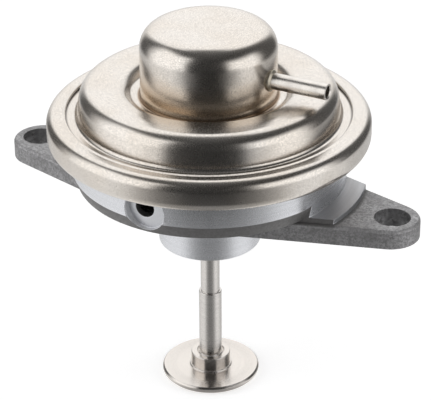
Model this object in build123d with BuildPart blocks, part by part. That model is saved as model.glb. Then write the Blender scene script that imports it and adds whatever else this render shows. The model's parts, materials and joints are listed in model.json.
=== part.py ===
"""Vacuum-operated exhaust gas recirculation valve, in millimetres.

The origin is the centre of the two-hole mounting flange, on its mounting face. +Z runs up
the stem to the vacuum cup, +X runs through the bolt holes under the nipple, and the vent
port is on -Y. The valve is drawn closed. The moving group lifts along +Z.
"""

from build123d import *

import math
import os

os.makedirs("parts", exist_ok=True)

# ---------------------------------------------------------------- driving dimensions
# Mounting flange
bolt_spacing = 101.0
bolt_hole_r = 4.5
ear_end_inset = 0.8  # how far the centre of the ear's end radius lies inside the bolt hole
ear_end_r = 7.7
waist_r = 21.6
ear_thickness = 5.05
ear_edge_r = 0.9
ledge_width = 5.2  # out from the body's turned wall
ledge_height = 1.15  # over the ears
ledge_foot_z = 0.9
ledge_foot_lean = 0.05
ledge_lean = 1.1  # the ledge's front leans back by twice this, and its back stands upright

# Body casting
rim_r = 40.0
rim_bottom_z = 16.9
rim_thickness = 4.1
rim_overhang = 5.0  # out from the body's turned wall
turned_bottom_z = 8.8
cast_step = 1.2  # from the turned wall in to the foot as cast
disc_step = 0.4  # from the ears' top face up to the underside of the round body
body_wall = 4.0
chamber_floor_z = 8.5
chamber_corner_r = 1.5
hub_r = 10.5
hub_top_z = 12.0
boss_r = 13.2
boss_length = 13.0
boss_chamfer = 0.4

# Vent port in the body's side
port_seat_r = 5.2
port_seat_depth = 2.2
port_seat_chamfer = 0.3
port_rim_gap = 0.4  # between the spot face and the rim above it
port_hole_r = 2.45
port_hole_offset = 0.7  # towards -X, from the middle of the spot face

# Pressed upper cover, with its heights over its flange
cover_sheet = 0.9
cup_r = 17.2
cup_height = 23.4
cup_edge_r = 5.5
plateau_height = 8.3
moat_depth = 3.3  # below the plateau
moat_width = 3.2
moat_wall_run = 1.2  # how far the moat's outer wall leans out
moat_bend_r = 1.6
plateau_inner_bend_r = 2.2
shoulder_bend_r = 2.5
skirt_run = 1.3  # how far the skirt leans out
skirt_bend_r = 1.2
skirt_lip_gap = 2.8  # between the skirt's foot and the crimp ring's lip

# Rolled crimp ring
ring_sheet = 0.9
ring_lip_width = 4.8
ring_upper_bend_r = 3.3
ring_lower_bend_r = 2.4
ring_body_gap = 0.3

# Diaphragm
diaphragm_thickness = 1.2
diaphragm_inset = 1.2  # from the rim's edge
bead_inset = 3.4  # from the rim's edge to the middle of the bead
bead_width = 1.8
bead_depth = 0.9
roll_wall_gap = 0.4  # between the roll and the chamber's wall, and the roll and the piston
roll_width = 6.2
roll_height = 5.4  # over the rim

# Vacuum nipple
nipple_height = 12.1  # over the cover's flange
nipple_r = 2.05
nipple_wall = 0.55
nipple_shoulder = 0.2  # radial step from the tube down to its spigot
nipple_reach = 15.3  # from the cup's wall to the open end
nipple_insert = 0.25  # how far it stands inside the cup's wall
nipple_edge = 0.2
braze_ring_width = 0.7

# Stem
stem_r = 2.5
stem_lower_r = 3.0
stem_step_z = -29.0
stem_top_thread_r = 2.0
rivet_r = 2.9
rivet_depth = 0.9
stem_nut_overrun = 1.4

# Valve plate
valve_plate_top_z = -51.8
valve_plate_thickness = 2.0
valve_plate_r = 12.9
valve_plate_edge = 0.45
seat_bevel = 0.8
valve_hub_r = 5.2
valve_hub_height = 4.0
valve_hub_chamfer = 0.25

# Guide bush, stem seal and scraper
bush_r = 5.0
bush_top_z = 5.0
bush_recess = 0.5  # between the bush and the scraper's pocket
seal_pocket_r = 7.5
seal_lip_depth = 2.2
seal_lip_r = 5.2
seal_cap_sheet = 0.8
seal_cap_hole_r = 4.0
scraper_pocket_r = 8.0
scraper_float = 1.0  # radial, the scraper in its pocket
scraper_thickness = 1.8
scraper_lip_r = 3.6
retainer_thickness = 1.2
retainer_hole_r = 4.2
retainer_recess = 0.4

# Diaphragm plates and their fasteners
lift = 6.0
stop_gap = 0.3
plate_sheet = 1.0
lower_plate_inset = 2.0  # from the upper plate's edge
lower_plate_rim = 2.2
plate_bend_r = 1.5
support_washer_r = 7.0
support_washer_thickness = 1.5
clamp_washer_thickness = 1.5
nut_flats = 7.0
nut_height = 3.2

# Return spring and its upper seat
spring_wire_r = 1.1
spring_cup_gap = 0.7  # between the spring and the cup's wall
spring_pilot_gap = 0.5  # between the spring and the clamp washer inside it
spring_coils = 5.5
seat_sheet = 0.8
seat_cup_gap = 0.4
seat_depth = 5.1  # from the cup's top down to where the spring bears
seat_bend_r = 1.2

# Fits
running_gap = 0.03  # radial, stem in its bush
seal_gap = 0.05  # radial, stem in its seal and scraper
nesting_gap = 0.05  # radial, pieces pressed or dropped into a bore
loose_gap = 0.1  # radial, washers and plates over the stem's thread, and sheet over sheet

# ---------------------------------------------------------------- derived radii
body_r = rim_r - rim_overhang
cast_r = body_r - cast_step
ledge_r = body_r + ledge_width
chamber_r = body_r - body_wall
ring_r = rim_r + loose_gap + ring_sheet
ring_lip_r = ring_r - ring_lip_width
rim_corner_r = ring_lower_bend_r - ring_sheet
cover_flange_r = ring_r - ring_upper_bend_r - loose_gap
skirt_r = ring_lip_r - skirt_lip_gap
shoulder_r = skirt_r - skirt_run
moat_floor_r = cup_r + moat_width
plateau_inner_r = moat_floor_r + moat_wall_run
diaphragm_outer_r = rim_r - diaphragm_inset
bead_r = rim_r - bead_inset
roll_outer_r = chamber_r - roll_wall_gap
roll_inner_r = roll_outer_r - roll_width
piston_r = roll_inner_r - roll_wall_gap
lower_plate_r = piston_r - lower_plate_inset
nipple_bore_r = nipple_r - nipple_wall
nipple_spigot_r = nipple_r - nipple_shoulder
braze_ring_r = nipple_r + braze_ring_width
scraper_r = scraper_pocket_r - scraper_float
spring_mean_r = cup_r - cover_sheet - spring_cup_gap - spring_wire_r
clamp_washer_r = spring_mean_r - spring_wire_r - spring_pilot_gap
seat_flange_r = cup_r - cover_sheet - seat_cup_gap
seat_crown_r = cup_r - cup_edge_r - loose_gap

# ---------------------------------------------------------------- derived levels
disc_bottom_z = ear_thickness + disc_step
ledge_top_z = ear_thickness + ledge_height
port_z = rim_bottom_z - port_rim_gap - port_seat_r
rim_top_z = rim_bottom_z + rim_thickness
diaphragm_clamp_top_z = rim_top_z + diaphragm_thickness
cover_flange_top_z = diaphragm_clamp_top_z + cover_sheet
plateau_z = cover_flange_top_z + plateau_height
moat_floor_z = plateau_z - moat_depth
cup_top_z = cover_flange_top_z + cup_height
nipple_z = cover_flange_top_z + nipple_height
ring_top_z = cover_flange_top_z + ring_sheet
ring_bottom_z = rim_bottom_z - ring_sheet
roll_top_z = rim_top_z + roll_height
seal_cap_top_z = hub_top_z + seal_cap_sheet
seal_cap_bottom_z = chamber_floor_z + chamber_corner_r + loose_gap
stem_shoulder_z = seal_cap_top_z + stop_gap
lower_plate_z = stem_shoulder_z + support_washer_thickness
diaphragm_centre_z = lower_plate_z + plate_sheet
piston_z = diaphragm_centre_z + diaphragm_thickness
spring_seat_z = piston_z + plate_sheet
nut_z = spring_seat_z + clamp_washer_thickness
stem_top_z = nut_z + nut_height + stem_nut_overrun
piston_rim_z = plateau_z - cover_sheet - lift - stop_gap
seat_flange_z = cup_top_z - seat_depth  # the underside of the upper seat's flange
valve_plate_bottom_z = valve_plate_top_z - valve_plate_thickness
valve_hub_top_z = valve_plate_top_z + valve_hub_height
retainer_z = -boss_length + retainer_recess
scraper_z = retainer_z + retainer_thickness
scraper_pocket_top_z = scraper_z + scraper_thickness
bush_bottom_z = scraper_pocket_top_z + bush_recess


def save(piece, name):
    """Labels a finished piece and writes it as its own file."""
    piece.part.label = name
    export_step(piece.part, f"parts/{name}.step")


# ---------------------------------------------------------------- valve body
def flange_outline(level, lean=0.0):
    """Draws the two-eared flange's outline at a level, narrowed and set back by a lean."""
    ear_centre_x = bolt_spacing / 2 - ear_end_inset
    with BuildSketch(Plane(origin=(0, lean, level))) as outline:
        Circle(waist_r - lean)
        with Locations((ear_centre_x, 0), (-ear_centre_x, 0)):
            Circle(ear_end_r - lean)
        make_hull()
    return outline.sketch


# Ledge turned across the roots of the ears, up to the body's turned wall
with BuildPart() as ledge:
    add(flange_outline(ledge_foot_z, ledge_foot_lean))
    add(flange_outline(turned_bottom_z, ledge_lean))
    loft(ruled=True)
    with BuildSketch(Plane.XZ):
        with BuildLine():
            Polyline(
                (0, ledge_foot_z),
                (ledge_r, ledge_foot_z),
                (ledge_r, ledge_top_z),
                (body_r, ledge_top_z),
                (body_r, turned_bottom_z),
                (0, turned_bottom_z),
                (0, ledge_foot_z),
            )
        make_face()
    revolve(axis=Axis.Z, mode=Mode.INTERSECT)

# Cutter for the vent port: a spot face with a chamfered mouth, and the hole through it
with BuildPart() as port_tool:
    with BuildSketch(Plane.XZ.offset(body_r - port_seat_depth)):
        with Locations((0, port_z)):
            Circle(port_seat_r)
    extrude(amount=port_seat_depth)
    mouth_r = port_seat_r + port_seat_chamfer
    chamfer_depth = body_r - math.sqrt(body_r**2 - mouth_r**2) + port_seat_chamfer
    with BuildSketch(Plane.XZ.offset(body_r - chamfer_depth)):
        with Locations((0, port_z)):
            Circle(port_seat_r)
    extrude(amount=chamfer_depth, taper=-math.degrees(math.atan(port_seat_chamfer / chamfer_depth)))
    with BuildSketch(Plane.XZ.offset(chamber_r - port_hole_r)):
        with Locations((-port_hole_offset, port_z)):
            Circle(port_hole_r)
    extrude(amount=body_r - chamber_r + port_hole_r)

with BuildPart() as valve_body:
    # Two-eared flange with its ledge
    add(flange_outline(0))
    extrude(amount=ear_thickness)
    fillet(valve_body.faces().sort_by(Axis.Z)[-1].edges(), ear_edge_r)
    add(ledge.part)

    # Round body, as cast at its foot and turned above, with the rim that the ring grips
    with BuildSketch(Plane.XZ):
        with BuildLine():
            Polyline(
                (0, disc_bottom_z),
                (cast_r, disc_bottom_z),
                (body_r, turned_bottom_z),
                (body_r, rim_bottom_z),
                (rim_r - rim_corner_r, rim_bottom_z),
            )
            JernArc((rim_r - rim_corner_r, rim_bottom_z), (1, 0), rim_corner_r, 90)
            Polyline(
                (rim_r, rim_bottom_z + rim_corner_r),
                (rim_r, rim_top_z),
                (0, rim_top_z),
                (0, disc_bottom_z),
            )
        make_face()
    revolve(axis=Axis.Z)

    # Locating boss under the flange
    with BuildSketch(Plane.XY):
        Circle(boss_r)
    extrude(amount=-boss_length)
    chamfer(valve_body.edges().sort_by(Axis.Z)[0], boss_chamfer)

    # Chamber under the diaphragm, round the hub that holds the stem's seal
    with BuildSketch(Plane.XZ):
        with BuildLine():
            FilletPolyline(
                (hub_r, rim_top_z),
                (hub_r, chamber_floor_z),
                (chamber_r, chamber_floor_z),
                (chamber_r, rim_top_z),
                radius=chamber_corner_r,
            )
            Line((chamber_r, rim_top_z), (hub_r, rim_top_z))
        make_face()
    revolve(axis=Axis.Z, mode=Mode.SUBTRACT)
    with BuildSketch(Plane.XY.offset(hub_top_z)):
        Circle(hub_r)
    extrude(amount=rim_top_z - hub_top_z, mode=Mode.SUBTRACT)

    # Bore for the bush, with the seal's pocket above and the scraper's below
    with BuildSketch(Plane.XY.offset(-boss_length)):
        Circle(bush_r)
    extrude(amount=boss_length + hub_top_z, mode=Mode.SUBTRACT)
    with BuildSketch(Plane.XY.offset(bush_top_z)):
        Circle(seal_pocket_r)
    extrude(amount=hub_top_z - bush_top_z, mode=Mode.SUBTRACT)
    with BuildSketch(Plane.XY.offset(-boss_length)):
        Circle(scraper_pocket_r)
    extrude(amount=boss_length + scraper_pocket_top_z, mode=Mode.SUBTRACT)

    # Groove for the diaphragm's bead
    with BuildSketch(Plane.XY.offset(rim_top_z)):
        Circle(bead_r + bead_width / 2 + nesting_gap)
        Circle(bead_r - bead_width / 2 - nesting_gap, mode=Mode.SUBTRACT)
    extrude(amount=-bead_depth - nesting_gap, mode=Mode.SUBTRACT)

    # Vent port, spot-faced into the turned wall
    add(port_tool.part, mode=Mode.SUBTRACT)

    # Bolt holes
    with Locations((bolt_spacing / 2, 0, ledge_top_z), (-bolt_spacing / 2, 0, ledge_top_z)):
        Hole(bolt_hole_r)
save(valve_body, "valve_body")


# ---------------------------------------------------------------- upper cover
with BuildPart() as upper_cover:
    with BuildSketch(Plane.XZ):
        with BuildLine() as cover_outside:
            FilletPolyline(
                (0, cup_top_z),
                (cup_r, cup_top_z),
                (cup_r, moat_floor_z),
                (moat_floor_r, moat_floor_z),
                (plateau_inner_r, plateau_z),
                (shoulder_r, plateau_z),
                (skirt_r, cover_flange_top_z),
                (cover_flange_r, cover_flange_top_z),
                radius=[
                    cup_edge_r,
                    moat_bend_r,
                    moat_bend_r,
                    plateau_inner_bend_r,
                    shoulder_bend_r,
                    skirt_bend_r,
                ],
            )
            offset(amount=cover_sheet, side=Side.RIGHT)
        make_face()
    revolve(axis=Axis.Z)
    with BuildSketch(Plane.YZ):
        with Locations((0, nipple_z)):
            Circle(nipple_spigot_r + nesting_gap)
    extrude(amount=cup_r, mode=Mode.SUBTRACT)
save(upper_cover, "upper_cover")


# ---------------------------------------------------------------- crimp ring
with BuildPart() as crimp_ring:
    with BuildSketch(Plane.XZ):
        with BuildLine():
            FilletPolyline(
                (ring_lip_r, ring_top_z),
                (ring_r, ring_top_z),
                (ring_r, ring_bottom_z),
                (body_r + ring_body_gap, ring_bottom_z),
                radius=[ring_upper_bend_r, ring_lower_bend_r],
            )
            offset(amount=ring_sheet, side=Side.RIGHT)
        make_face()
    revolve(axis=Axis.Z)
save(crimp_ring, "crimp_ring")


# ---------------------------------------------------------------- vacuum nipple
with BuildPart() as vacuum_nipple:
    # Tube for the hose, with its shoulder against the braze
    with BuildSketch(Plane.YZ.offset(cup_r + braze_ring_width)):
        with Locations((0, nipple_z)):
            Circle(nipple_r)
    extrude(amount=nipple_reach - braze_ring_width)
    # Spigot through the braze and the cup's wall, and the bore through both
    with BuildSketch(Plane.YZ.offset(cup_r - cover_sheet - nipple_insert)):
        with Locations((0, nipple_z)):
            Circle(nipple_spigot_r)
    extrude(amount=cover_sheet + nipple_insert + braze_ring_width)
    with BuildSketch(Plane.YZ.offset(cup_r - cover_sheet - nipple_insert)):
        with Locations((0, nipple_z)):
            Circle(nipple_bore_r)
    extrude(amount=nipple_insert + cover_sheet + nipple_reach, mode=Mode.SUBTRACT)
    chamfer(vacuum_nipple.faces().sort_by(Axis.X)[-1].edges(), nipple_edge)
save(vacuum_nipple, "vacuum_nipple")

with BuildPart() as nipple_braze_ring:
    with BuildSketch(Plane.YZ.offset(cup_r - cover_sheet)):
        with Locations((0, nipple_z)):
            Circle(braze_ring_r)
    extrude(amount=cover_sheet + braze_ring_width)
    chamfer(nipple_braze_ring.faces().sort_by(Axis.X)[-1].edges(), braze_ring_width / 2)
    with BuildSketch(Plane.YZ.offset(cup_r - cover_sheet)):
        with Locations((0, nipple_z)):
            Circle(nipple_spigot_r + nesting_gap)
    extrude(amount=cover_sheet + braze_ring_width, mode=Mode.SUBTRACT)
    with BuildSketch(Plane.XY.offset(moat_floor_z)):
        Circle(cup_r)
    extrude(amount=cup_top_z - moat_floor_z, mode=Mode.SUBTRACT)
save(nipple_braze_ring, "nipple_braze_ring")


# ---------------------------------------------------------------- diaphragm
with BuildPart() as diaphragm:
    with BuildSketch(Plane.XZ):
        with BuildLine():
            FilletPolyline(
                (stem_top_thread_r + loose_gap, diaphragm_centre_z),
                (roll_inner_r + diaphragm_thickness, diaphragm_centre_z),
                (roll_inner_r + diaphragm_thickness, roll_top_z - diaphragm_thickness),
                (roll_outer_r - diaphragm_thickness, roll_top_z - diaphragm_thickness),
                (roll_outer_r - diaphragm_thickness, rim_top_z),
                (diaphragm_outer_r, rim_top_z),
                radius=diaphragm_thickness,
            )
            offset(amount=diaphragm_thickness, side=Side.LEFT)
        make_face()
    revolve(axis=Axis.Z)
    with BuildSketch(Plane.XY.offset(rim_top_z)):
        Circle(bead_r + bead_width / 2)
        Circle(bead_r - bead_width / 2, mode=Mode.SUBTRACT)
    extrude(amount=-bead_depth)
save(diaphragm, "diaphragm")


# ---------------------------------------------------------------- guide bush, seal and scraper
with BuildPart() as guide_bush:
    with BuildSketch(Plane.XY.offset(bush_bottom_z)):
        Circle(bush_r - nesting_gap)
        Circle(stem_r + running_gap, mode=Mode.SUBTRACT)
    extrude(amount=bush_top_z - bush_bottom_z)
save(guide_bush, "guide_bush")

with BuildPart() as stem_seal:
    with BuildSketch(Plane.XZ):
        with BuildLine():
            Polyline(
                (stem_r + seal_gap, bush_top_z),
                (seal_pocket_r - nesting_gap, bush_top_z),
                (seal_pocket_r - nesting_gap, hub_top_z),
                (seal_lip_r, hub_top_z),
                (seal_lip_r, hub_top_z - seal_lip_depth),
                (stem_r + seal_gap, hub_top_z),
                (stem_r + seal_gap, bush_top_z),
            )
        make_face()
    revolve(axis=Axis.Z)
save(stem_seal, "stem_seal")

with BuildPart() as seal_cap:
    with BuildSketch(Plane.XZ):
        with BuildLine():
            FilletPolyline(
                (seal_cap_hole_r, seal_cap_top_z),
                (hub_r + nesting_gap + seal_cap_sheet, seal_cap_top_z),
                (hub_r + nesting_gap + seal_cap_sheet, seal_cap_bottom_z),
                radius=seal_cap_sheet + nesting_gap,
            )
            offset(amount=seal_cap_sheet, side=Side.RIGHT)
        make_face()
    revolve(axis=Axis.Z)
save(seal_cap, "seal_cap")

with BuildPart() as scraper_ring:
    with BuildSketch(Plane.XZ):
        with BuildLine():
            Polyline(
                (stem_r + seal_gap, scraper_pocket_top_z),
                (scraper_r, scraper_pocket_top_z),
                (scraper_r, scraper_z),
                (scraper_lip_r, scraper_z),
                (stem_r + seal_gap, scraper_z + scraper_lip_r - stem_r),
                (stem_r + seal_gap, scraper_pocket_top_z),
            )
        make_face()
    revolve(axis=Axis.Z)
save(scraper_ring, "scraper_ring")

with BuildPart() as scraper_retainer:
    with BuildSketch(Plane.XY.offset(retainer_z)):
        Circle(scraper_pocket_r - nesting_gap)
        Circle(retainer_hole_r, mode=Mode.SUBTRACT)
    extrude(amount=retainer_thickness)
    chamfer(scraper_retainer.faces().sort_by(Axis.Z)[0].edges(), retainer_recess / 2)
save(scraper_retainer, "scraper_retainer")


# ---------------------------------------------------------------- stem and valve plate
with BuildPart() as valve_stem:
    with BuildSketch(Plane.XZ):
        with BuildLine():
            Polyline(
                (0, valve_plate_bottom_z),
                (rivet_r, valve_plate_bottom_z),
                (stem_top_thread_r, valve_plate_bottom_z + rivet_depth),
                (stem_top_thread_r, valve_hub_top_z),
                (stem_lower_r, valve_hub_top_z),
                (stem_lower_r, stem_step_z),
                (stem_r, stem_step_z),
                (stem_r, stem_shoulder_z),
                (stem_top_thread_r, stem_shoulder_z),
                (stem_top_thread_r, stem_top_z),
                (0, stem_top_z),
                (0, valve_plate_bottom_z),
            )
        make_face()
    revolve(axis=Axis.Z)
save(valve_stem, "valve_stem")

with BuildPart() as valve_plate:
    with BuildSketch(Plane.XZ):
        with BuildLine():
            Polyline(
                (rivet_r + nesting_gap, valve_plate_bottom_z),
                (valve_plate_r - seat_bevel, valve_plate_bottom_z),
                (valve_plate_r, valve_plate_bottom_z + seat_bevel),
                (valve_plate_r, valve_plate_top_z - valve_plate_edge),
                (valve_plate_r - valve_plate_edge, valve_plate_top_z),
                (valve_hub_r, valve_plate_top_z),
                (valve_hub_r, valve_hub_top_z - valve_hub_chamfer),
                (valve_hub_r - valve_hub_chamfer, valve_hub_top_z),
                (stem_top_thread_r + nesting_gap, valve_hub_top_z),
                (stem_top_thread_r + nesting_gap, valve_plate_bottom_z + rivet_depth),
                (rivet_r + nesting_gap, valve_plate_bottom_z),
            )
        make_face()
    revolve(axis=Axis.Z)
save(valve_plate, "valve_plate")


# ---------------------------------------------------------------- diaphragm plates
with BuildPart() as support_washer:
    with BuildSketch(Plane.XY.offset(stem_shoulder_z)):
        Circle(support_washer_r)
        Circle(stem_top_thread_r + loose_gap, mode=Mode.SUBTRACT)
    extrude(amount=support_washer_thickness)
save(support_washer, "support_washer")

with BuildPart() as lower_diaphragm_plate:
    with BuildSketch(Plane.XZ):
        with BuildLine():
            FilletPolyline(
                (stem_top_thread_r + loose_gap, diaphragm_centre_z),
                (lower_plate_r, diaphragm_centre_z),
                (lower_plate_r, diaphragm_centre_z - lower_plate_rim),
                radius=plate_bend_r,
            )
            offset(amount=plate_sheet, side=Side.RIGHT)
        make_face()
    revolve(axis=Axis.Z)
save(lower_diaphragm_plate, "lower_diaphragm_plate")

with BuildPart() as upper_diaphragm_plate:
    with BuildSketch(Plane.XZ):
        with BuildLine():
            FilletPolyline(
                (stem_top_thread_r + loose_gap, piston_z),
                (piston_r, piston_z),
                (piston_r, piston_rim_z),
                radius=plate_bend_r,
            )
            offset(amount=plate_sheet, side=Side.LEFT)
        make_face()
    revolve(axis=Axis.Z)
save(upper_diaphragm_plate, "upper_diaphragm_plate")

with BuildPart() as clamp_washer:
    with BuildSketch(Plane.XY.offset(spring_seat_z)):
        Circle(clamp_washer_r)
        Circle(stem_top_thread_r + loose_gap, mode=Mode.SUBTRACT)
    extrude(amount=clamp_washer_thickness)
save(clamp_washer, "clamp_washer")

with BuildPart() as stem_nut:
    with BuildSketch(Plane.XY.offset(nut_z)):
        RegularPolygon(nut_flats / 2, 6, major_radius=False)
        Circle(stem_top_thread_r + nesting_gap, mode=Mode.SUBTRACT)
    extrude(amount=nut_height)
save(stem_nut, "stem_nut")


# ---------------------------------------------------------------- return spring
with BuildPart() as spring_upper_seat:
    with BuildSketch(Plane.XZ):
        with BuildLine():
            FilletPolyline(
                (0, cup_top_z - cover_sheet),
                (seat_crown_r, cup_top_z - cover_sheet),
                (seat_crown_r, seat_flange_z + seat_sheet),
                (seat_flange_r, seat_flange_z + seat_sheet),
                radius=[seat_bend_r, seat_bend_r - seat_sheet + nesting_gap],
            )
            offset(amount=seat_sheet, side=Side.RIGHT)
        make_face()
    revolve(axis=Axis.Z)
save(spring_upper_seat, "spring_upper_seat")

with BuildPart() as return_spring:
    spring_length = seat_flange_z - spring_seat_z
    with BuildLine(Plane.XY.offset(spring_seat_z)) as coil:
        Helix(pitch=spring_length / spring_coils, height=spring_length, radius=spring_mean_r)
    with BuildSketch(Plane(origin=coil.line @ 0, z_dir=coil.line % 0)):
        Circle(spring_wire_r)
    sweep(path=coil.line, is_frenet=True)
    # Ends ground flat
    with BuildSketch(Plane.XY.offset(spring_seat_z)):
        Circle(spring_mean_r + 2 * spring_wire_r)
    extrude(amount=spring_length, mode=Mode.INTERSECT)
save(return_spring, "return_spring")
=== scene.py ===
"""Dresses a packed vacuum-operated exhaust gas recirculation valve.

The frame holds the valve in metres: the origin is the middle of the flange's two bolt holes, on
its mounting face, +Z runs up the stem and +X runs under the vacuum nipple. The script gives the
castings, pressings and turned pieces their finishes and puts a plain pale studio round them.
"""

import json
import math
from types import SimpleNamespace

import bmesh
import bpy
from mathutils import Matrix, Vector


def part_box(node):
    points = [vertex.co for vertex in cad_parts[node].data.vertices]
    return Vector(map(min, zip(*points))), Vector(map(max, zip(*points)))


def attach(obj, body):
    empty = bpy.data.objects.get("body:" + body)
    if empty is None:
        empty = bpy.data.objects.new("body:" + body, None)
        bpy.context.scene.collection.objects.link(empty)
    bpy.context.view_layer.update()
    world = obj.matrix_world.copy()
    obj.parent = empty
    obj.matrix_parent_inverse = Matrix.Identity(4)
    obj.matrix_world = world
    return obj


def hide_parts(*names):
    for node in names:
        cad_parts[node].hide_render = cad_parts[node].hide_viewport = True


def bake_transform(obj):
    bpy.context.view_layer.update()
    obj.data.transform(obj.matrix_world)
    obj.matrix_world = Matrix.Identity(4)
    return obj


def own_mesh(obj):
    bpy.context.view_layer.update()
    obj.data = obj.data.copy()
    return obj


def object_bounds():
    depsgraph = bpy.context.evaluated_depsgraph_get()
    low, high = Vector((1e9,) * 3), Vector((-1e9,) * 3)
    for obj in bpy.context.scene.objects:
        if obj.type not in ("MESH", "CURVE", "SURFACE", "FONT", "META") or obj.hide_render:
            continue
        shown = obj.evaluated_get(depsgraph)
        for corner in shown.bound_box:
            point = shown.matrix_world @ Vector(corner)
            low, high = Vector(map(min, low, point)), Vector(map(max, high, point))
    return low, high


bl_info = {
    "name": "Recirculation Valve",
    "version": (1, 0, 0),
    "blender": (4, 5, 0),
    "location": "View3D > Sidebar > Valve",
    "description": "Dresses a vacuum-operated recirculation valve and lights it",
    "category": "Object",
}

MM = 0.001
HOOP = 10.0  # radius of the circle that a section is swept round, in millimetres
SEAM = 0.001  # points nearer than this are merged, in millimetres
SHARP = 0.05  # bend of a corner that is only just broken, in millimetres
CRISP = 0.1  # bend of a corner that is lightly broken, in millimetres

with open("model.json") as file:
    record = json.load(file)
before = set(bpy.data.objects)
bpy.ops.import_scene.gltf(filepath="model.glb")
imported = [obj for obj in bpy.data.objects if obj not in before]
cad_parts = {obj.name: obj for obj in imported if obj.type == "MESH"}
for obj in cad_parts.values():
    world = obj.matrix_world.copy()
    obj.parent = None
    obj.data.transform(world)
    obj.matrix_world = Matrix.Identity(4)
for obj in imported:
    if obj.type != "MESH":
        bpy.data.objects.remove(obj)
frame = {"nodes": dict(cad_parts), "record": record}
CAD_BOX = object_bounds()
NODES = frame["nodes"]


# ---------------------------------------------------------------- node helpers
def add_node(tree, kind, inputs=None, **settings):
    """Adds a node, sets its properties, and fills or links its inputs by name or number."""
    node = tree.nodes.new(kind)
    for name, value in settings.items():
        setattr(node, name, value)
    for name, value in (inputs or {}).items():
        if isinstance(value, bpy.types.NodeSocket):
            tree.links.new(value, node.inputs[name])
        else:
            node.inputs[name].default_value = value
    return node


def output_of(tree, kind, inputs=None, **settings):
    """Adds a node and returns its first output."""
    return add_node(tree, kind, inputs, **settings).outputs[0]


def math_node(tree, operation, first, second=0.0):
    """Adds a Math node and returns its output."""
    return output_of(tree, "ShaderNodeMath", {0: first, 1: second}, operation=operation)


def product(tree, first, second):
    """Multiplies two values."""
    return math_node(tree, "MULTIPLY", first, second)


def vector_math(tree, operation, vector, second=None, scale=None):
    """Adds a Vector Math node and returns its output, which is a number for a length."""
    inputs = {0: vector}
    if second is not None:
        inputs[1] = second
    if scale is not None:
        inputs["Scale"] = scale
    node = add_node(tree, "ShaderNodeVectorMath", inputs, operation=operation)
    return node.outputs["Value" if operation == "LENGTH" else "Vector"]


def combined(tree, **parts):
    """Makes a vector of the x, y and z that are given, and of zeros."""
    return output_of(
        tree, "ShaderNodeCombineXYZ", {name.upper(): value for name, value in parts.items()}
    )


def separated(tree, vector):
    """Returns a vector's parts by name: X, Y and Z."""
    return add_node(tree, "ShaderNodeSeparateXYZ", {0: vector}).outputs


def smooth_step(tree, value, low, high):
    """Returns 0 below low and 1 above high, with a smooth rise between."""
    inputs = {"Value": value, "From Min": low, "From Max": high}
    return output_of(tree, "ShaderNodeMapRange", inputs, interpolation_type="SMOOTHSTEP")


def contrast(tree, value, half=0.15):
    """Stretches a noise's middle values, half on each side of 0.5, to run from 0 to 1."""
    return smooth_step(tree, value, 0.5 - half, 0.5 + half)


def within(tree, value, edge, full, none):
    """Returns 1 as far as full past an edge, and fades to 0 at none past it."""
    return smooth_step(tree, value, edge + none, edge + full)


def spread(tree, value, low, high):
    """Maps a mask from 0 to 1 onto low to high."""
    return output_of(tree, "ShaderNodeMapRange", {"Value": value, "To Min": low, "To Max": high})


def mix(tree, factor, first, second, **settings):
    """Mixes two values, or two of the data type in the settings."""
    inputs = {"Factor": factor, "A": first, "B": second}
    return add_node(tree, "ShaderNodeMix", inputs, **settings).outputs["Result"]


def mix_color(tree, factor, first, second, **settings):
    """Mixes two colours."""
    return mix(tree, factor, first, second, data_type="RGBA", **settings)


def new_group(name, inputs, outputs):
    """Starts a shader node group with named inputs and float outputs, in millimetres.

    An input whose default is None is a vector.
    """
    group = bpy.data.node_groups.new(name, "ShaderNodeTree")
    for label, default in inputs.items():
        kind = "NodeSocketVector" if default is None else "NodeSocketFloat"
        socket = group.interface.new_socket(label, in_out="INPUT", socket_type=kind)
        if default is not None:
            socket.default_value = default
    for label in outputs:
        group.interface.new_socket(label, in_out="OUTPUT", socket_type="NodeSocketFloat")
    return group, group.nodes.new("NodeGroupInput").outputs


def close_group(group, outputs):
    """Links a group's results to its outputs by name and returns the group."""
    result = group.nodes.new("NodeGroupOutput")
    for label, value in outputs.items():
        group.links.new(value, result.inputs[label])
    return group


def object_millimetres(tree):
    """Returns the object's own coordinates in millimetres."""
    place = add_node(tree, "ShaderNodeTexCoord").outputs["Object"]
    return vector_math(tree, "SCALE", place, scale=1 / MM)


def noise(tree, vector, grain, detail=2.0, roughness=0.5, dimensions="3D"):
    """Returns a noise factor whose lumps are about grain millimetres across."""
    scale = math_node(tree, "DIVIDE", 1.0, grain)
    inputs = {"Vector": vector, "Scale": scale, "Detail": detail, "Roughness": roughness}
    node = add_node(tree, "ShaderNodeTexNoise", inputs, noise_dimensions=dimensions)
    return node.outputs["Fac"]


def flattened(tree, place):
    """Drops a place to the origin's level."""
    return vector_math(tree, "MULTIPLY", place, second=(1, 1, 0))


def radius_and_height(tree, place):
    """Returns a place's distance from the Z axis and its height."""
    return vector_math(tree, "LENGTH", flattened(tree, place)), separated(tree, place)["Z"]


# ---------------------------------------------------------------- shared effects
STREAK_RADIUS = 30.0  # where a drawn streak has the width it is given, in millimetres
BAND_FEEDS = 12  # width of a band of a tool's rings, in feeds
WALL_RISE, FACE_RISE = 0.3, 0.7  # of a normal, where rings go over from height to radius
PIT_EDGE, PIT_FLOOR = 0.46, 0.26  # of the noise that lumps a cast skin


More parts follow.
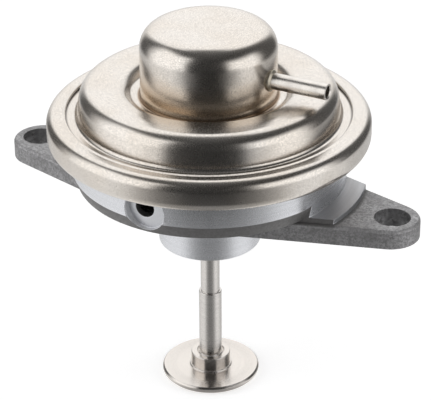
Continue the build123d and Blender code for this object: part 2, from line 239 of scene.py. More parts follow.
def satin_group():
    """Fine speckle of a bead-blasted and plated surface, with slow clouds in its tone."""
    group, given = new_group(
        "Satin Speckle", {"Grain": 0.35, "Clouds": 14.0}, ["Height", "Speckle", "Clouds"]
    )
    place = object_millimetres(group)
    fine = noise(group, place, given["Grain"], detail=3.0, roughness=0.6)
    clouds = noise(group, place, given["Clouds"])
    outputs = {
        "Height": fine,
        "Speckle": contrast(group, fine),
        "Clouds": contrast(group, clouds),
    }
    return close_group(group, outputs)


def lathe_group():
    """Rings that a tool leaves about its axis: by height on walls, by radius on faces."""
    group, given = new_group(
        "Tool Rings",
        {"Place": None, "Facing": None, "Feed": 0.15, "Waver": 2.0},
        ["Height", "Bands"],
    )
    radius, height = radius_and_height(group, given["Place"])
    on_wall = combined(group, y=height)
    on_face = combined(group, x=radius)
    rise = math_node(group, "ABSOLUTE", separated(group, given["Facing"])["Z"])
    level = smooth_step(group, rise, WALL_RISE, FACE_RISE)

    def rings(width, detail):
        wall = noise(group, on_wall, width, detail=detail, dimensions="2D")
        face = noise(group, on_face, width, detail=detail, dimensions="2D")
        return mix(group, level, wall, face)

    outputs = {
        "Height": rings(given["Feed"], 1.0),
        "Bands": contrast(group, rings(given["Waver"], 2.0), 0.2),
    }
    return close_group(group, outputs)


def drawn_group():
    """Streaks that a drawing die leaves up a wall."""
    group, given = new_group("Drawn Streaks", {"Width": 0.6, "Length": 9.0}, ["Height"])
    place = object_millimetres(group)
    around = vector_math(group, "NORMALIZE", flattened(group, place))
    count = math_node(group, "DIVIDE", STREAK_RADIUS, given["Width"])
    rise = math_node(group, "DIVIDE", separated(group, place)["Z"], given["Length"])
    streaks = vector_math(
        group,
        "ADD",
        vector_math(group, "SCALE", around, scale=count),
        second=combined(group, z=rise),
    )
    return close_group(group, {"Height": noise(group, streaks, 1.0, detail=3.0)})


def cast_group():
    """Grain, pits and stains of an as-cast skin."""
    group, given = new_group(
        "Cast Skin",
        {"Grain": 0.6, "Pits": 0.8, "Stains": 7.0},
        ["Height", "Grain", "Pits", "Stains"],
    )
    place = object_millimetres(group)
    grain = noise(group, place, given["Grain"], detail=4.0, roughness=0.65)
    lumps = noise(group, place, given["Pits"], detail=3.0, roughness=0.6)
    stains = noise(group, place, given["Stains"], detail=3.0)
    pits = smooth_step(group, lumps, PIT_EDGE, PIT_FLOOR)
    outputs = {
        "Height": math_node(group, "SUBTRACT", grain, pits),
        "Grain": contrast(group, grain, 0.16),
        "Pits": pits,
        "Stains": contrast(group, stains),
    }
    return close_group(group, outputs)


def place_group(tree, group, **values):
    """Places a shared effect in a material with its own values and returns its outputs."""
    inputs = {name.capitalize(): value for name, value in values.items()}
    return add_node(tree, "ShaderNodeGroup", inputs, node_tree=group).outputs


# ---------------------------------------------------------------- finishes
LIP_SHADE_SHARE = 0.85  # how far the painted shade along the ring's lip hides the plate
CORNER_SHARE = 0.9  # how far the painted shade at a ledge's foot hides the casting
GRAIN_SHARE = 0.7  # depth of a turned metal's grain, as a share of its rings'


def new_material(name):
    """Starts a material and returns its tree and its surface shader."""
    material = bpy.data.materials.new(name)
    material.use_nodes = True
    return material.node_tree, material.node_tree.nodes["Principled BSDF"]


def dress(tree, shader, tone, rough, normal, metallic=0.0):
    """Gives a surface its colour, its roughness, its relief and its share of metal."""
    for label, value in {"Base Color": tone, "Roughness": rough, "Normal": normal}.items():
        tree.links.new(value, shader.inputs[label])
    shader.inputs["Metallic"].default_value = metallic


def bump(tree, height, depth, under=None):
    """Returns the normal of a relief whose full depth is in millimetres."""
    inputs = {"Height": height, "Distance": depth * MM, "Strength": 1.0}
    if under is not None:
        inputs["Normal"] = under
    return output_of(tree, "ShaderNodeBump", inputs)


def tinted(color, level):
    """Scales a colour's red, green and blue."""
    return [min(1.0, channel * level) for channel in color[:3]] + [1.0]


def satin_nickel(groups, look, name, streaks=0.0, cup=0.0, lip=0.0, foot=None):
    """Pressed sheet with a satin nickel plate.

    Where a foot level is given, a cup has a painted warm reflection of the plateau low on it and
    painted shade in the corner at its foot, and painted shade lies along a lip. The cup's and the
    lip's radius, the level and the streaks' depth are in millimetres.
    """
    tree, shader = new_material(name)
    satin = place_group(tree, groups["satin"], grain=0.22, clouds=16.0)
    tone = mix_color(tree, satin["Clouds"], look.nickel_color, look.nickel_warm_color)
    specks = spread(tree, satin["Speckle"], 1.0, 0.0)
    tone = mix_color(tree, specks, tone, look.nickel_speck_color, blend_type="MULTIPLY")
    if foot is not None:
        radius, height = radius_and_height(tree, object_millimetres(tree))
        near = within(tree, radius, cup, 0.2, 1.0)
        low = within(tree, height, foot, 0.5, look.tint_height / MM)
        cloudy = product(tree, low, spread(tree, satin["Clouds"], 0.6, 1.0))
        # Painted warm reflection of the plateau low on the cup, broken up by the clouds.
        tone = mix_color(tree, product(tree, near, cloudy), tone, look.cup_reflection_tint_color)
        # Painted shade in the corner at the cup's foot.
        corner = product(tree, near, within(tree, height, foot, 0.2, 1.9))
        tone = mix_color(tree, corner, tone, look.cup_foot_shade_color)
        # Painted shade on the cover along the inside of the ring's lip.
        painted_shade = product(tree, within(tree, radius, lip, -0.2, -0.8), LIP_SHADE_SHARE)
        tone = mix_color(tree, painted_shade, tone, look.lip_shade_color)
    base = look.nickel_roughness
    rough = spread(tree, satin["Speckle"], base + 0.06, base - 0.04)
    normal = bump(tree, satin["Height"], look.speckle_depth / MM)
    if streaks:
        drawn = place_group(tree, groups["drawn"])
        normal = bump(tree, drawn["Height"], streaks, under=normal)
    dress(tree, shader, tone, rough, normal, metallic=1.0)


def turned_metal(
    groups,
    name,
    color,
    roughness,
    feed,
    depth,
    anisotropic=0.0,
    metallic=1.0,
    turn=None,
    middle=None,
):
    """Bar or casting cut by a tool that ran about Z, or about an axis carried there by a turn.

    The feed from ring to ring and their depth are in millimetres.
    """
    tree, shader = new_material(name)
    place = object_millimetres(tree)
    facing = add_node(tree, "ShaderNodeTexCoord").outputs["Normal"]
    if middle is not None:
        place = vector_math(tree, "SUBTRACT", place, second=middle)
    if turn is not None:
        place, facing = (
            output_of(
                tree,
                "ShaderNodeVectorRotate",
                {"Vector": vector, "Rotation": turn},
                rotation_type="EULER_XYZ",
            )
            for vector in (place, facing)
        )
    rings = place_group(
        tree, groups["lathe"], feed=feed, waver=feed * BAND_FEEDS, place=place, facing=facing
    )
    satin = place_group(tree, groups["satin"], grain=0.25, clouds=8.0)
    clouds = spread(tree, satin["Clouds"], 0.0, 0.6)
    specks = spread(tree, satin["Speckle"], 0.6, 0.0)
    tone = color
    for mask, level in ((rings["Bands"], 0.9), (clouds, 0.94), (specks, 0.82)):
        tone = mix_color(tree, mask, tone, tinted(color, level))
    rough = math_node(
        tree,
        "ADD",
        spread(tree, rings["Bands"], roughness - 0.03, roughness + 0.04),
        spread(tree, satin["Speckle"], -0.02, 0.03),
    )
    if anisotropic:
        shader.inputs["Anisotropic"].default_value = anisotropic
        shader.inputs["Anisotropic Rotation"].default_value = 0.25
        tangent = output_of(tree, "ShaderNodeTangent", direction_type="RADIAL", axis="Z")
        tree.links.new(tangent, shader.inputs["Tangent"])
    grain = bump(tree, satin["Height"], depth * GRAIN_SHARE)
    normal = bump(tree, rings["Height"], depth, under=grain)
    dress(tree, shader, tone, rough, normal, metallic)


def cast_aluminium(groups, look, name, level, foot, coarse=1.0):
    """Die casting as it left the mould, with painted shade in the corner at a ledge's foot.

    The foot is the ledge's radius and the level of the ear's top, in millimetres. The level scales
    the colours, which paints shade or light onto a face. The lumps grow and deepen with coarse.
    """
    tree, shader = new_material(name)
    skin = place_group(tree, groups["cast"], grain=0.6 * coarse, pits=0.8 * coarse)
    dull = tinted(look.cast_stain_color, level)
    tone = mix_color(tree, skin["Stains"], tinted(look.cast_color, level), dull)
    tone = mix_color(tree, spread(tree, skin["Grain"], 0.95, 0.0), tone, tinted(dull, 0.68))
    tone = mix_color(tree, skin["Pits"], tone, tinted(look.cast_pit_and_shade_color, level))
    radius, height = radius_and_height(tree, object_millimetres(tree))
    ledge, ear_top = foot
    # Painted shade on the skin inside about the ledges' radius and from the ears' top up, where
    # each ledge meets its ear.
    near = within(tree, radius, ledge, 0.3, 1.4)
    corner = product(tree, near, within(tree, height, ear_top, -0.1, -0.6))
    painted_shade = tinted(look.cast_pit_and_shade_color, 0.5)
    tone = mix_color(tree, product(tree, corner, CORNER_SHARE), tone, painted_shade)
    base = look.cast_roughness
    rough = spread(tree, skin["Grain"], base + 0.08, base - 0.05)
    normal = bump(tree, skin["Height"], look.cast_depth / MM * coarse * coarse)
    dress(tree, shader, tone, rough, normal, metallic=0.5)


def plain_rubber(groups, name, color):
    """Moulded rubber."""
    tree, shader = new_material(name)
    skin = place_group(tree, groups["satin"], grain=0.5, clouds=6.0)
    tone = mix_color(tree, skin["Clouds"], color, tinted(color, 1.5))
    rough = spread(tree, skin["Speckle"], 0.7, 0.55)
    dress(tree, shader, tone, rough, bump(tree, skin["Height"], 0.02))


# ---------------------------------------------------------------- pieces
def new_object(name, data):
    """Makes an object at the origin."""
    obj = bpy.data.objects.new(name, data)
    bpy.context.scene.collection.objects.link(obj)
    return obj


def mesh_from(bm, name):
    """Turns a bmesh into a mesh and frees it."""
    mesh = bpy.data.meshes.new(name)
    bm.to_mesh(mesh)
    bm.free()
    return mesh


def bake(piece):
    """Replaces the piece's mesh with its evaluated one and drops its modifiers."""
    graph = bpy.context.evaluated_depsgraph_get()
    mesh = bpy.data.meshes.new_from_object(
        piece.evaluated_get(graph), preserve_all_data_layers=True, depsgraph=graph
    )
    piece.modifiers.clear()
    piece.data = mesh
    mesh.name = piece.name


def settle_normals(piece):
    """Turns the faces outwards and lets large faces lead the shading."""
    bm = bmesh.new()
    bm.from_mesh(piece.data)
    if bm.calc_volume(signed=True) < 0:
        bmesh.ops.reverse_faces(bm, faces=bm.faces)
    bm.to_mesh(piece.data)
    bm.free()
    piece.modifiers.new("Weights", "WEIGHTED_NORMAL")
    bake(piece)


def span(node):
    """Returns a node's outer radius, bottom and top in millimetres."""
    low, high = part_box(node)
    return high.x / MM, low.z / MM, high.z / MM


def stands_for(piece, body, slot, *nodes):
    """Puts a finished piece on its body in place of its CAD nodes."""
    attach(piece, body)
    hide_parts(*nodes)


# ---------------------------------------------------------------- sections
def sheet_section(line, sheet, edge_bend):
    """Outline of a pressed sheet from its outer line of (radius, height, bend radius).

    The metal lies on the right of the line as it is walked. A cut edge off the axis is rounded.
    """
    points = [Vector(corner[:2]) for corner in line]
    steps = [(after - before).normalized() for before, after in zip(points, points[1:])]
    sides = [Vector((step.y, -step.x)) for step in steps]
    inner = []
    for index, (point, corner) in enumerate(zip(points, line)):
        before = sides[max(index - 1, 0)]
        after = sides[min(index, len(sides) - 1)]
        away = (before + after) * sheet / (1 + before.dot(after))
        outside = before.cross(after) > 0
        bend = corner[2] + sheet if outside else corner[2] - sheet
        inner.append((point.x + away.x, point.y + away.y, bend))
    outer = [tuple(corner) for corner in line]
    for row in (outer, inner):
        for end in (0, -1):
            radius, height, bend = row[end]
            row[end] = (radius, height, edge_bend if radius > 0 else 0.0)
    return outer + inner[::-1]


def section_mesh(name, section):
    """Chain of edges through a section in millimetres, with its bends as an attribute.

    It lies as a sweep round a circle needs it, and stays open where both its ends are on the axis.
    """
    count = len(section)
    on_axis = section[0][0] == 0 and section[-1][0] == 0
    edges = [(index, index + 1) for index in range(count - 1)]
    if not on_axis:
        edges.append((count - 1, 0))
    mesh = bpy.data.meshes.new(name)
    corners = [((radius - HOOP) * MM, -height * MM, 0) for radius, height, bend in section]
    mesh.from_pydata(corners, edges, [])
    bends = mesh.attributes.new("bend", "FLOAT", "POINT")
    bends.data.foreach_set("value", [bend * MM for radius, height, bend in section])
    return mesh


# ---------------------------------------------------------------- shape nodes
def shape_tree(name, inputs):
    """Starts a Geometry Nodes tree with named inputs of the given socket types."""
    tree = bpy.data.node_groups.new(name, "GeometryNodeTree")
    for label, kind in {"Geometry": "Geometry", **inputs}.items():
        tree.interface.new_socket(label, in_out="INPUT", socket_type="NodeSocket" + kind)
    tree.interface.new_socket("Geometry", in_out="OUTPUT", socket_type="NodeSocketGeometry")
    return tree, tree.nodes.new("NodeGroupInput").outputs


def close_tree(tree, geometry, finish):
    """Merges, smooths and paints the geometry, and hands it to the tree's output."""
    merge = {"Geometry": geometry, "Distance": SEAM * MM}
    geometry = output_of(tree, "GeometryNodeMergeByDistance", merge)
    geometry = output_of(tree, "GeometryNodeSetShadeSmooth", {"Geometry": geometry})
    geometry = output_of(tree, "GeometryNodeRealizeInstances", {"Geometry": geometry})
    paint = {"Geometry": geometry, "Material": finish}
    geometry = output_of(tree, "GeometryNodeSetMaterial", paint)
    tree.links.new(geometry, tree.nodes.new("NodeGroupOutput").inputs[0])


def turned_tree():
    """Rounds a section's corners and sweeps it round Z, then turns and moves the piece."""
    tree, given = shape_tree(
        "Turned Piece",
        {
            "Segments": "Int",
            "Bend steps": "Int",
            "Turn": "Vector",
            "Move": "Vector",
            "Finish": "Material",
        },
    )
    chain = output_of(tree, "GeometryNodeMeshToCurve", {0: given["Geometry"]})
    bend = output_of(tree, "GeometryNodeInputNamedAttribute", {"Name": "bend"}, data_type="FLOAT")
    rounded = output_of(
        tree,
        "GeometryNodeFilletCurve",
        {"Curve": chain, "Count": given["Bend steps"], "Radius": bend, "Limit Radius": True},
        mode="POLY",
    )
    circle = {"Resolution": given["Segments"], "Radius": HOOP * MM}
    hoop = output_of(tree, "GeometryNodeCurvePrimitiveCircle", circle)
    sweep = {"Curve": hoop, "Profile Curve": rounded}
    swept = output_of(tree, "GeometryNodeCurveToMesh", sweep)
    place = {"Geometry": swept, "Translation": given["Move"], "Rotation": given["Turn"]}
    close_tree(tree, output_of(tree, "GeometryNodeTransform", place), given["Finish"])


def coil_tree():
    """Winds a wire up Z between two levels, and grinds its ends flat at them."""
    tree, given = shape_tree(
        "Ground Coil",
        {
            "Coils": "Float",
            "Steps per coil": "Int",
            "Mean radius": "Float",
            "Wire radius": "Float",
            "Wire sides": "Int",
            "Bottom": "Float",
            "Top": "Float",
            "Finish": "Material",
        },
    )
    spiral = output_of(
        tree,
        "GeometryNodeCurveSpiral",
        {
            "Resolution": given["Steps per coil"],
            "Rotations": given["Coils"],
            "Start Radius": given["Mean radius"],
            "End Radius": given["Mean radius"],
            "Height": math_node(tree, "SUBTRACT", given["Top"], given["Bottom"]),
        },
    )
    circle = {"Resolution": given["Wire sides"], "Radius": given["Wire radius"]}
    wire = output_of(tree, "GeometryNodeCurvePrimitiveCircle", circle)
    sweep = {"Curve": spiral, "Profile Curve": wire, "Fill Caps": True}
    swept = output_of(tree, "GeometryNodeCurveToMesh", sweep)
    place = {"Geometry": swept, "Translation": combined(tree, z=given["Bottom"])}
    placed = output_of(tree, "GeometryNodeTransform", place)
    point = separated(tree, output_of(tree, "GeometryNodeInputPosition"))
    levels = {"Value": point["Z"], "Min": given["Bottom"], "Max": given["Top"]}
    ground = combined(
        tree, x=point["X"], y=point["Y"], z=output_of(tree, "ShaderNodeClamp", levels)
    )
    faced = {"Geometry": placed, "Position": ground}
    close_tree(tree, output_of(tree, "GeometryNodeSetPosition", faced), given["Finish"])


def grow(name, mesh, tree, **values):
    """Runs a Geometry Nodes tree on a mesh and returns the result as a plain piece."""
    piece = new_object(name, mesh)
    modifier = piece.modifiers.new("Shape", "NODES")
    modifier.node_group = bpy.data.node_groups[tree]
    labels = {
        item.name: item.identifier
        for item in modifier.node_group.interface.items_tree
        if item.in_out == "INPUT"
    }
    for label, value in values.items():
        modifier[labels[label.capitalize().replace("_", " ")]] = value
    bake(piece)
    if not piece.data.polygons:
        raise RuntimeError(f"{name} came out empty")
    settle_normals(piece)
    return piece


def turned(name, section, finish, shape, turn=(0, 0, 0), move=(0, 0, 0)):
    """Makes a piece of revolution from its section in millimetres."""
    return grow(
        name,
        section_mesh(name, section),
        "Turned Piece",
        segments=shape.segments,
        bend_steps=shape.bend_steps,
        turn=turn,
        move=move,
        finish=bpy.data.materials[finish],
    )


# ---------------------------------------------------------------- casting
# The bolt-hole, ear-wall and disc-wall skins are the cast skin with its colours scaled for painted
# shade or painted light.
CASTING_FINISHES = (
    "Cast aluminium skin with painted ledge shade",
    "Turned aluminium",
    "Spot-faced aluminium",
    "Ledge aluminium",
    "Bolt-hole skin with painted shade",
    "Port-wall aluminium",
    "Ear-wall skin with painted shade",
    "Disc-wall skin with painted light",
)
WALL_TILT = 0.1  # the most that an upright wall's normal rises or falls
FACE_TILT = 0.9  # the least that a level face's normal rises or falls
NEAR = 0.2 * MM  # how near its own radius or level a turned face is
ON_PAD = 0.05 * MM  # how near the mounting face's level its own faces are
OVER_EAR = 0.3 * MM  # how far over the ears' top the disc's cast wall begins
OVER_LEDGE = 0.5 * MM  # how far over the ears' top the ledges are at least
PORT_DEPTH = 5 * MM  # how far the vent port's faces reach in from the body's wall
CHAMBER_INSET = 3.5 * MM  # from the body's wall to the chamber that is turned in it
CHAMBER_FLOOR = 6 * MM  # the chamber's faces are above this level


def casting_finish(face, shape):
    """Names the finish that a face of the casting has."""
    points = [vert.co for vert in face.verts]
    height = sum(point.z for point in points) / len(points)
    radius = sum(math.hypot(point.x, point.y) for point in points) / len(points)
    off_port = max(math.hypot(point.x, point.z - shape.port_height) for point in points)
    off_bolt = max(math.hypot(abs(point.x) - shape.bolt_offset, point.y) for point in points)
    upright = abs(face.normal.z) < WALL_TILT
    faces_up = face.normal.z > FACE_TILT
    faces_down = face.normal.z <= -FACE_TILT
    by_port = points[0].y < 0 and off_port < shape.port_seat_radius
    if by_port and radius > shape.body_radius - PORT_DEPTH:
        if face.normal.y < -FACE_TILT:
            return "Spot-faced aluminium"
        return "Bolt-hole skin with painted shade" if off_port < shape.port_hole else "Port-wall aluminium"
    if upright and off_bolt < shape.bolt_hole:
        return "Bolt-hole skin with painted shade"
    in_chamber = radius < shape.body_radius - CHAMBER_INSET and height > CHAMBER_FLOOR
    if height < ON_PAD or in_chamber and not faces_down:
        return "Turned aluminium"
    on_body = abs(radius - shape.body_radius) < NEAR
    if upright and on_body and height > shape.ear_top:
        return "Turned aluminium"
    if upright and abs(radius - shape.ledge_radius) < NEAR:
        return "Ledge aluminium"
    if faces_up and shape.ear_top + OVER_LEDGE < height < shape.rim_bottom:
        return "Ledge aluminium"
    if height > shape.rim_bottom - NEAR:
        return "Turned aluminium"
    if upright and height < shape.ear_top:
        return "Ear-wall skin with painted shade"
    over_ear = height > shape.ear_top + OVER_EAR and not faces_down
    return "Disc-wall skin with painted light" if over_ear else "Cast aluminium skin with painted ledge shade"


def casting_mesh(shape):
    """Joins up a copy of the casting's mesh and marks each face with its finish."""
    bm = bmesh.new()
    bm.from_mesh(NODES["valve_body"].data)
    bmesh.ops.remove_doubles(bm, verts=bm.verts, dist=2 * SEAM * MM)
    bmesh.ops.dissolve_limit(bm, angle_limit=math.radians(0.3), verts=bm.verts, edges=bm.edges)
    for face in bm.faces:
        face.material_index = CASTING_FINISHES.index(casting_finish(face, shape))
        face.smooth = True
    for edge in bm.edges:
        edge.smooth = True
    return mesh_from(bm, "casting")


# ---------------------------------------------------------------- settings
def colour(name, description, default):
    """A colour that a user may change."""
    return bpy.props.FloatVectorProperty(
        name=name,
        description=description,
        default=(*default, 1.0),
        size=4,
        subtype="COLOR",
        min=0.0,
        max=1.0,
    )


def length(name, description, default):
    """A length in metres that a user may change."""
    return bpy.props.FloatProperty(
        name=name, description=description, default=default, unit="LENGTH"
    )


def size(name, description, millimetres):
    """A length given in millimetres that a user may change."""
    return length(name, description, millimetres * MM)


def angle(name, description, degrees):
    """An angle that a user may change."""
    return bpy.props.FloatProperty(
        name=name, description=description, default=math.radians(degrees), subtype="ANGLE"
    )


def factor(name, description, default):
    """A share from 0 to 1 that a user may change."""
    return bpy.props.FloatProperty(
        name=name, description=description, default=default, min=0.0, max=1.0, subtype="FACTOR"
    )


def strength(name, description, default):
    """A light level that a user may change."""
    return bpy.props.FloatProperty(name=name, description=description, default=default, min=0.0)


def whole(name, description, default):
    """A count that a user may change."""
    return bpy.props.IntProperty(name=name, description=description, default=default, min=1)


class ValveShapeSettings(bpy.types.PropertyGroup):
    """Sizes of the pressed, turned and wound pieces, and of the casting's finished faces"""

    segments: whole("Segments", "Faces round a turned piece", 192)
    bend_steps: whole("Bend steps", "Steps in each rounded corner", 8)
    lip_edge: size("Lip edge", "Rounding of the ring's two edges", 0.2)
    cut_edge: size("Cut edge", "Rounding of a sheet's cut edge", 0.15)
    broken_edge: size("Broken edge", "Rounding of a turned piece's corners", 0.12)
    cast_edge: size("Cast edge", "Rounding of the casting's corners", 0.16)
    cover_sheet: size("Cover sheet", "Thickness of the pressed cover", 0.9)
    cup_radius: size("Cup radius", "Outside of the vacuum cup", 17.2)
    cup_edge: size("Cup edge", "Bend at the top of the cup", 5.5)
    moat_depth: size("Moat depth", "Depth of the groove round the cup", 3.3)
    moat_width: size("Moat width", "Floor of the groove round the cup", 2.3)
    moat_lean: size("Moat lean", "How far the groove's outer wall leans out", 2.1)
    foot_bend: size("Foot bend", "Bend at the cup's foot", 0.7)
    moat_bend: size("Moat bend", "Bend at the outside of the groove's floor", 1.6)
    plateau_height: size("Plateau height", "Plateau over the cover's flange", 8.3)
    crown_radius: size("Crown radius", "Where the plateau is highest", 26.6)
    crown_fall: size("Crown fall", "How far the plateau falls to its two edges", 0.25)
    crown_bend: size("Crown bend", "Bend along the plateau's top", 16.0)
    plateau_bend: size("Plateau bend", "Bend at the plateau's inner edge", 4.0)
    shoulder_bend: size("Shoulder bend", "Bend at the plateau's outer edge", 3.9)
    skirt_radius: size("Skirt radius", "Foot of the skirt under the plateau", 33.4)
    skirt_lean: size("Skirt lean", "How far the skirt leans out", 1.3)
    skirt_bend: size("Skirt bend", "Bend at the skirt's foot", 1.2)
    ring_sheet: size("Ring sheet", "Thickness of the crimp ring", 0.65)
    lip_bead: size("Lip bead", "Width of the slope outside the bead along the ring's lip", 0.5)
    lip_rise: size("Lip rise", "Height of the bead along the ring's lip", 0.17)
    ring_lip: size("Ring lip", "Width of the ring's top, in from its outside", 4.8)
    ring_upper_bend: size("Ring upper bend", "Outer bend at the ring's top", 2.6)
    ring_lower_bend: size("Ring lower bend", "Outer bend where the ring is rolled under", 2.4)
    nipple_radius: size("Nipple radius", "Outside of the hose tube", 2.05)
    nipple_bore: size("Nipple bore", "Inside of the hose tube", 1.5)
    nipple_mouth: size("Nipple mouth", "Chamfer in the tube's open end", 0.28)
    nipple_spigot: size("Nipple spigot", "Tube where it goes through the cup", 1.85)
    braze_width: size("Braze width", "Braze round the tube", 0.7)
    stem_radius: size("Stem radius", "Upper stem", 2.5)
    stem_lower_radius: size("Lower stem radius", "Stem below its step", 3.0)
    stem_thread_radius: size("Stem thread radius", "Stem above its shoulder, and in the plate", 2.0)
    stem_step: size("Stem step", "Level of the stem's step", -29.0)
    stem_shoulder: size("Stem shoulder", "Level of the diaphragm plates' shoulder", 13.1)
    rivet_radius: size("Rivet radius", "Riveted end of the stem", 2.9)
    rivet_depth: size("Rivet depth", "Depth of the riveted end", 0.9)
    plate_thickness: size("Plate thickness", "Valve plate without its hub", 2.0)
    seat_bevel: size("Seat bevel", "Bevel under the plate's rim", 0.8)
    plate_edge: size("Plate edge", "Chamfer over the plate's rim", 0.45)
    hub_radius: size("Hub radius", "Hub of the valve plate", 5.2)
    weld_bead: size("Weld bead", "Bead round the hub's foot", 0.4)
    stem_groove: size("Stem groove", "Groove in the hub's top round the stem", 0.35)
    coils: bpy.props.FloatProperty(name="Coils", description="Turns of the spring", default=5.5)
    coil_radius: size("Coil radius", "Middle of the spring's wire, from the axis", 14.5)
    seat_gap: size("Seat gap", "Room left under the spring at full lift", 0.02)
    wire_radius: size("Wire radius", "Spring wire", 1.1)
    rubber_thickness: size("Diaphragm", "Thickness of the diaphragm", 1.2)
    rubber_bend: size("Diaphragm bend", "Bends of the diaphragm's roll", 1.2)
    web_hole: size("Web hole", "Hole in the diaphragm for the stem", 2.1)
    web_radius: size("Web radius", "Wall of the diaphragm that goes with the stem", 25.6)
    roll_radius: size("Roll radius", "Wall of the diaphragm that stays with the casting", 29.4)
    bead_middle: size("Bead middle", "Middle of the bead under the diaphragm's rim", 36.6)
    bead_radius: size("Bead radius", "Half the width of the bead, and its depth", 0.9)
    port_hole: size("Port hole", "Within this of the spot face's middle a wall is the port's", 3.6)
    port_height: size("Port height", "Middle of the spot face round the vent port", 11.3)
    port_seat_radius: size("Port seat", "Spot face round the vent port, with its chamfer", 5.75)
    bolt_offset: size("Bolt offset", "From the axis to each bolt hole", 50.5)
    bolt_hole: size("Bolt hole", "Radius within which a wall is the bolt hole's", 4.8)
    body_radius: size("Body radius", "Turned wall of the casting", 35.0)
    ledge_radius: size("Ledge radius", "Turned ledges on the ears", 40.2)
    ear_top: size("Ear top", "Top of the ears over the mounting face", 5.05)
    rim_bottom: size("Rim bottom", "Underside of the rim that the ring grips", 16.9)


class ValveFinishSettings(bpy.types.PropertyGroup):
    """Colours and roughness of the valve's metals and rubbers"""

    nickel_color: colour("Nickel", "Plate on the pressed sheet", (0.84, 0.797, 0.745))
    nickel_warm_color: colour("Warm nickel", "Plate where it is thinner", (0.80, 0.743, 0.675))
    nickel_speck_color: colour("Nickel specks", "The plate's fine specks", (0.70, 0.69, 0.685))
    nickel_roughness: factor("Nickel roughness", "Roughness of the satin plate", 0.22)
    speckle_depth: size("Speckle depth", "Depth of the plate's fine grain", 0.006)
    cup_reflection_tint_color: colour("Painted cup reflection", "Painted warm reflection of the plateau low on the cup", (0.69, 0.565, 0.43))
    cup_foot_shade_color: colour("Cup foot", "Painted shade in the corner at the cup's foot", (0.24, 0.16, 0.10))
    # Colour of the painted shade on the cover along the ring's lip.
    lip_shade_color: colour("Painted lip shade", "Dirt on the cover along the ring's lip", (0.13, 0.12, 0.11))
    tint_height: size("Tint height", "Height of the tint over the cup's foot", 10)
    cast_color: colour("Casting", "Aluminium as cast", (0.50, 0.495, 0.505))
    cast_stain_color: colour("Casting stain", "Duller patches of the casting", (0.35, 0.345, 0.35))
    # The pits' colour is also the base of the painted shade at the ledges' foot.
    cast_pit_and_shade_color: colour("Casting pits", "Inside the casting's pits", (0.24, 0.235, 0.23))
    cast_depth: size("Casting depth", "Depth of the cast skin's grain", 0.05)
    cast_roughness: factor("Casting roughness", "Roughness of the cast skin", 0.44)
    turned_color: colour("Turned aluminium", "Aluminium that a tool has cut", (0.80, 0.81, 0.84))
    turned_roughness: factor("Turned roughness", "Roughness of the cut aluminium", 0.26)
    stainless_color: colour("Stainless", "Stem and valve plate", (0.76, 0.73, 0.70))
    plate_color: colour("Valve plate", "Faced steel of the valve plate", (0.775, 0.73, 0.685))
    stainless_roughness: factor("Stainless roughness", "Roughness of the stem and plate", 0.24)
    braze_color: colour("Braze", "Silver braze", (0.72, 0.66, 0.55))
    zinc_color: colour("Zinc", "Plate on the hidden pressings", (0.66, 0.66, 0.62))
    spring_color: colour("Spring", "Drawn wire", (0.36, 0.35, 0.34))
    bronze_color: colour("Bronze", "Sintered bush and scraper", (0.55, 0.38, 0.20))
    rubber_color: colour("Rubber", "Diaphragm", (0.025, 0.025, 0.025))
    seal_color: colour("Seal", "Fluorocarbon stem seal", (0.08, 0.045, 0.035))


class ValveStageSettings(bpy.types.PropertyGroup):
    """Camera, floor and lights"""

    camera_azimuth: angle("Camera azimuth", "Round the valve, from its -Y side towards +X", 27.03)
    camera_elevation: angle("Camera elevation", "Above the floor", 28.336)
    camera_roll: angle("Camera roll", "About the line of sight", -0.322)
    camera_distance: length("Camera distance", "From the aim point to the lens", 0.50917)
    camera_lens: bpy.props.FloatProperty(
        name="Lens", description="Focal length on a 36 mm sensor", default=164.6, unit="CAMERA"
    )
    aim_aside: size("Aim aside", "Aim point, right of the stem in the picture", 1.644)
    aim_height: size("Aim height", "Aim point, over the mounting face", -2.244)
    floor_size: length("Floor", "Radius of the floor", 3.0)
    light_distance: length("Light distance", "From the valve to each softbox", 0.8)
    dome_radius: length("Dome", "Radius of the dull dome round the lights", 1.3)
    card_gap: size("Card gap", "Height of the table's card over the floor", 0.3)
    side_level: strength("Side panels", "Level of the panels at the sides", 1.3)
    back_level: strength("Back panel", "Level of the tilted panel behind", 1.3)
    front_level: strength("Front", "Level of the cloth on the camera's side", 0.035)
    post_level: strength("Corners", "Level of the cloth in the far corners", 0.1)
    overhead_level: strength("Overhead", "Level of the ceiling over the cloth's", 0.06)
    table_side_level: strength("Table", "Level of the table beside the valve", 0.95)


# The shape settings that aren't lengths.
COUNTS = ("segments", "bend_steps", "coils")


def in_millimetres(shape):
    """Returns the lengths of the shape settings in millimetres."""
    names = [name for name in ValveShapeSettings.__annotations__ if name not in COUNTS]
    return SimpleNamespace(**{name: getattr(shape, name) / MM for name in names})


# ---------------------------------------------------------------- stage
SENSOR_WIDTH = 36  # of the camera, in millimetres
FLOOR_TONE = (0.86, 0.86, 0.86, 1)
FLOOR_GLOW = 0.45  # glow that lifts the floor to white where it is seen
WORLD_LEVEL = 0.55  # level of the world for plain surfaces
CARD_COLUMNS, CARD_ROWS = 120, 45  # steps of a card's grid round the valve and along a bearing

# Name, bearing from the camera's side and height in degrees, width and height in metres, radiance.
SOFTBOXES = (
    ("Left softbox", -82, 18, 0.8, 0.8, 1.15),
    ("Front softbox", 0, 2, 0.7, 0.5, 0.75),
    ("Right softbox", 82, 18, 0.7, 0.8, 1.1),
)

